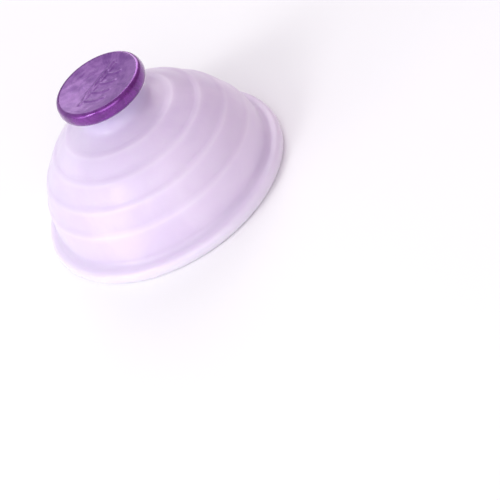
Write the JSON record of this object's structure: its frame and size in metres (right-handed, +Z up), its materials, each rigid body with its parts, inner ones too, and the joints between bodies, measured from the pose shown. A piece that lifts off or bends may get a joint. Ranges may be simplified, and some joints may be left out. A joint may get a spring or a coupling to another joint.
{
  "type": "silicone cupping cup",
  "caption": "Soft bell-shaped massage suction cup: wide sealing rim, terraced dome that presses down and springs back, and a round turning knob over an inner pressure tip.",
  "frame": {"origin": "centre of the sealing rim's flat underside", "axes": "+Z up the cup's axis towards the knob; the cup is round, so X and Y are free"},
  "size_m": [0.07, 0.07, 0.0398],
  "materials": {
    "silicone": "milky translucent satin",
    "bush_plastic": "satin",
    "knob_plastic": "pearly gloss",
    "face_plastic": "brushed satin",
    "seal_rubber": "satin",
    "tip_plastic": "gloss",
    "magnet_plating": "nickel plated"
  },
  "bodies": {
    "cup": {"silicone_cup": "silicone"},
    "crown": {"neck_bush": "bush_plastic"},
    "turning_knob": {"knob": "knob_plastic", "knob_face": "face_plastic", "seal_washer": "seal_rubber", "pressure_tip": "tip_plastic", "rod_magnet": "magnet_plating"}
  },
  "joints": [
    {"name": "dome_press", "type": "slide", "parent": "cup", "child": "crown", "axis": [0, 0, -1], "range_m": [0, 0.012], "stiffness_N_per_m": 800, "deforming": ["silicone_cup"]},
    {"name": "knob_turn", "type": "hinge", "parent": "crown", "child": "turning_knob", "pos_m": [0, 0, 0.03], "axis": [0, 0, 1], "continuous": true}
  ]
}
